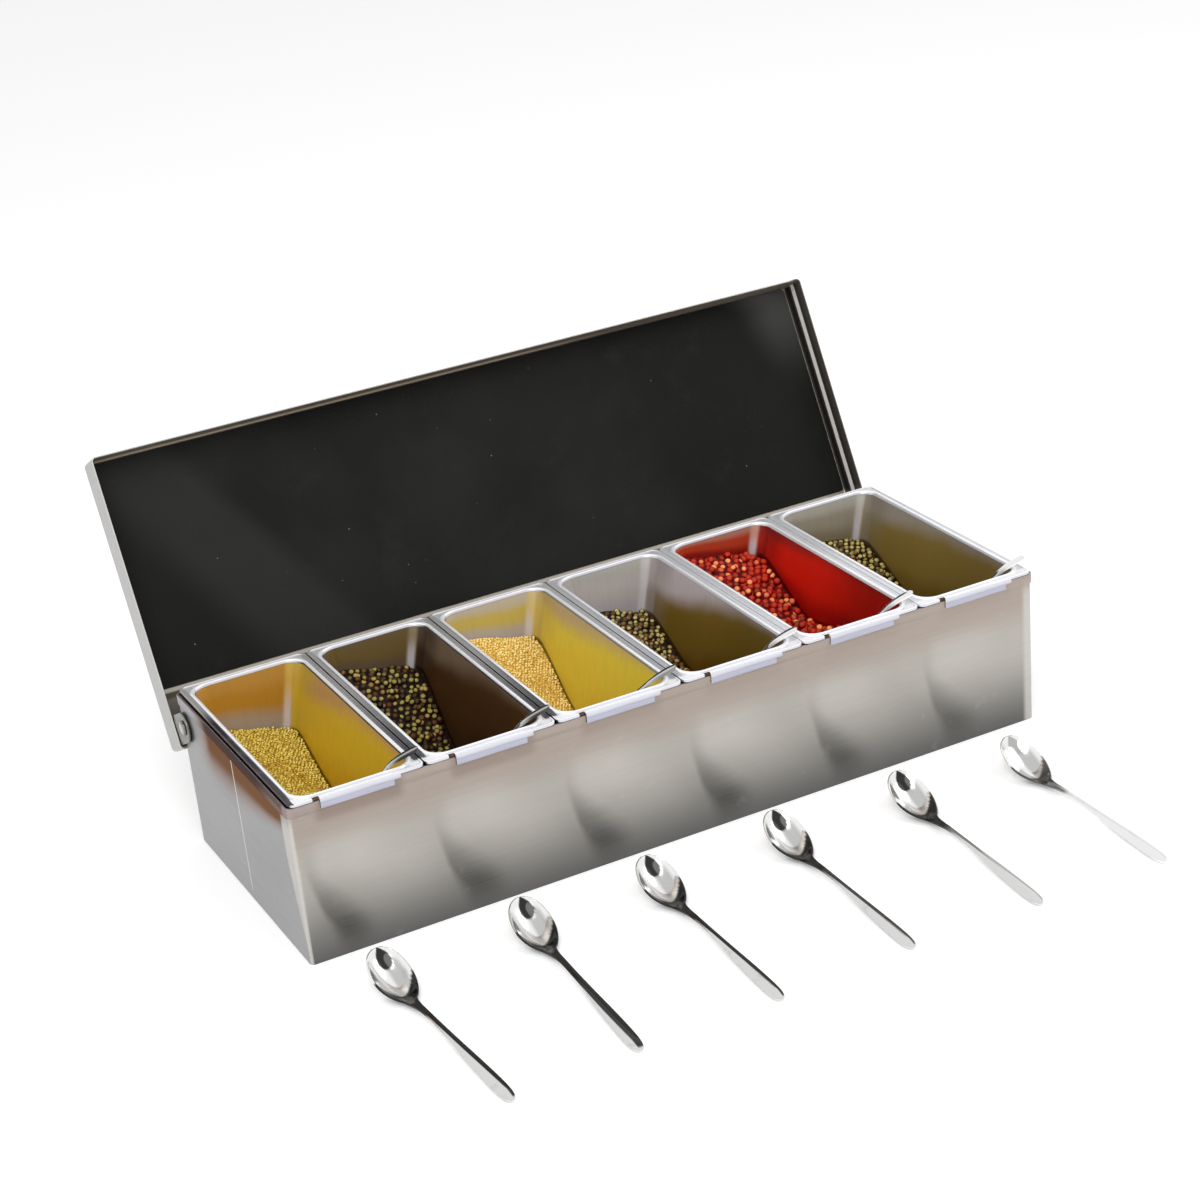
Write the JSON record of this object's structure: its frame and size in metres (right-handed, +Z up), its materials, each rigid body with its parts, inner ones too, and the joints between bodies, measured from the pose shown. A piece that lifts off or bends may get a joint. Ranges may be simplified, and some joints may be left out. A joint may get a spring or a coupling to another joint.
{
  "type": "spice box",
  "caption": "Long steel spice box with a hinged lid over a row of lift-out pans with grip tabs, small spoons in the pans and table spoons laid in front.",
  "frame": {"origin": "centre of the case's underside", "axes": "+X along the case to the right as seen from the front, +Y to the hinge side at the rear, +Z up"},
  "size_m": [0.5084, 0.4781, 0.2279],
  "materials": {
    "case_steel": "satin",
    "floor_steel": "satin",
    "lid_steel": "satin",
    "liner_black": "gloss",
    "hinge_steel": "satin",
    "pan_steel": "polished",
    "spoon_steel": "polished",
    "spice_yellow": "matte",
    "spice_black_green": "satin",
    "spice_gold": "matte",
    "spice_black_olive": "satin",
    "spice_red": "satin",
    "spice_olive": "satin"
  },
  "bodies": {
    "case": {"case_front_wrap": "case_steel", "case_rear_wrap": "case_steel", "case_floor": "floor_steel", "hinge_rivet_left": "hinge_steel", "hinge_rivet_right": "hinge_steel"},
    "lid": {"lid_tray": "lid_steel", "lid_inner_panel": "liner_black", "hinge_ear_left": "hinge_steel", "hinge_ear_right": "hinge_steel"},
    "pan_1_body": {"pan_1": "pan_steel", "spice_1": "spice_yellow"},
    "pan_spoon_1_body": {"pan_spoon_1": "spoon_steel"},
    "table_spoon_1_body": {"table_spoon_1": "spoon_steel"},
    "pan_2_body": {"pan_2": "pan_steel", "spice_2": "spice_black_green"},
    "pan_spoon_2_body": {"pan_spoon_2": "spoon_steel"},
    "table_spoon_2_body": {"table_spoon_2": "spoon_steel"},
    "pan_3_body": {"pan_3": "pan_steel", "spice_3": "spice_gold"},
    "pan_spoon_3_body": {"pan_spoon_3": "spoon_steel"},
    "table_spoon_3_body": {"table_spoon_3": "spoon_steel"},
    "pan_4_body": {"pan_4": "pan_steel", "spice_4": "spice_black_olive"},
    "pan_spoon_4_body": {"pan_spoon_4": "spoon_steel"},
    "table_spoon_4_body": {"table_spoon_4": "spoon_steel"},
    "pan_5_body": {"pan_5": "pan_steel", "spice_5": "spice_red"},
    "pan_spoon_5_body": {"pan_spoon_5": "spoon_steel"},
    "table_spoon_5_body": {"table_spoon_5": "spoon_steel"},
    "pan_6_body": {"pan_6": "pan_steel", "spice_6": "spice_olive"},
    "pan_spoon_6_body": {"pan_spoon_6": "spoon_steel"},
    "table_spoon_6_body": {"table_spoon_6": "spoon_steel"}
  },
  "joints": [
    {"name": "lid_hinge", "type": "hinge", "parent": "case", "child": "lid", "pos_m": [0, 0.08, 0.082], "axis": [-1, 0, 0], "range_deg": [-117.3, 0]},
    {"name": "pan_1_lift", "type": "slide", "parent": "case", "child": "pan_1_body", "axis": [0, 0, 1], "range_m": [0, 0.12]},
    {"name": "pan_2_lift", "type": "slide", "parent": "case", "child": "pan_2_body", "axis": [0, 0, 1], "range_m": [0, 0.12]},
    {"name": "pan_3_lift", "type": "slide", "parent": "case", "child": "pan_3_body", "axis": [0, 0, 1], "range_m": [0, 0.12]},
    {"name": "pan_4_lift", "type": "slide", "parent": "case", "child": "pan_4_body", "axis": [0, 0, 1], "range_m": [0, 0.12]},
    {"name": "pan_5_lift", "type": "slide", "parent": "case", "child": "pan_5_body", "axis": [0, 0, 1], "range_m": [0, 0.12]},
    {"name": "pan_6_lift", "type": "slide", "parent": "case", "child": "pan_6_body", "axis": [0, 0, 1], "range_m": [0, 0.12]},
    {"name": "pan_spoon_1_lift", "type": "slide", "parent": "pan_1_body", "child": "pan_spoon_1_body", "axis": [0, 0, 1], "range_m": [0, 0.08]},
    {"name": "pan_spoon_2_lift", "type": "slide", "parent": "pan_2_body", "child": "pan_spoon_2_body", "axis": [0, 0, 1], "range_m": [0, 0.08]},
    {"name": "pan_spoon_3_lift", "type": "slide", "parent": "pan_3_body", "child": "pan_spoon_3_body", "axis": [0, 0, 1], "range_m": [0, 0.08]},
    {"name": "pan_spoon_4_lift", "type": "slide", "parent": "pan_4_body", "child": "pan_spoon_4_body", "axis": [0, 0, 1], "range_m": [0, 0.08]},
    {"name": "pan_spoon_5_lift", "type": "slide", "parent": "pan_5_body", "child": "pan_spoon_5_body", "axis": [0, 0, 1], "range_m": [0, 0.08]},
    {"name": "pan_spoon_6_lift", "type": "slide", "parent": "pan_6_body", "child": "pan_spoon_6_body", "axis": [0, 0, 1], "range_m": [0, 0.08]},
    {"name": "table_spoon_1_lift", "type": "slide", "parent": "case", "child": "table_spoon_1_body", "axis": [0, 0, 1], "range_m": [0, 0.1]},
    {"name": "table_spoon_2_lift", "type": "slide", "parent": "case", "child": "table_spoon_2_body", "axis": [0, 0, 1], "range_m": [0, 0.1]},
    {"name": "table_spoon_3_lift", "type": "slide", "parent": "case", "child": "table_spoon_3_body", "axis": [0, 0, 1], "range_m": [0, 0.1]},
    {"name": "table_spoon_4_lift", "type": "slide", "parent": "case", "child": "table_spoon_4_body", "axis": [0, 0, 1], "range_m": [0, 0.1]},
    {"name": "table_spoon_5_lift", "type": "slide", "parent": "case", "child": "table_spoon_5_body", "axis": [0, 0, 1], "range_m": [0, 0.1]},
    {"name": "table_spoon_6_lift", "type": "slide", "parent": "case", "child": "table_spoon_6_body", "axis": [0, 0, 1], "range_m": [0, 0.1]}
  ]
}
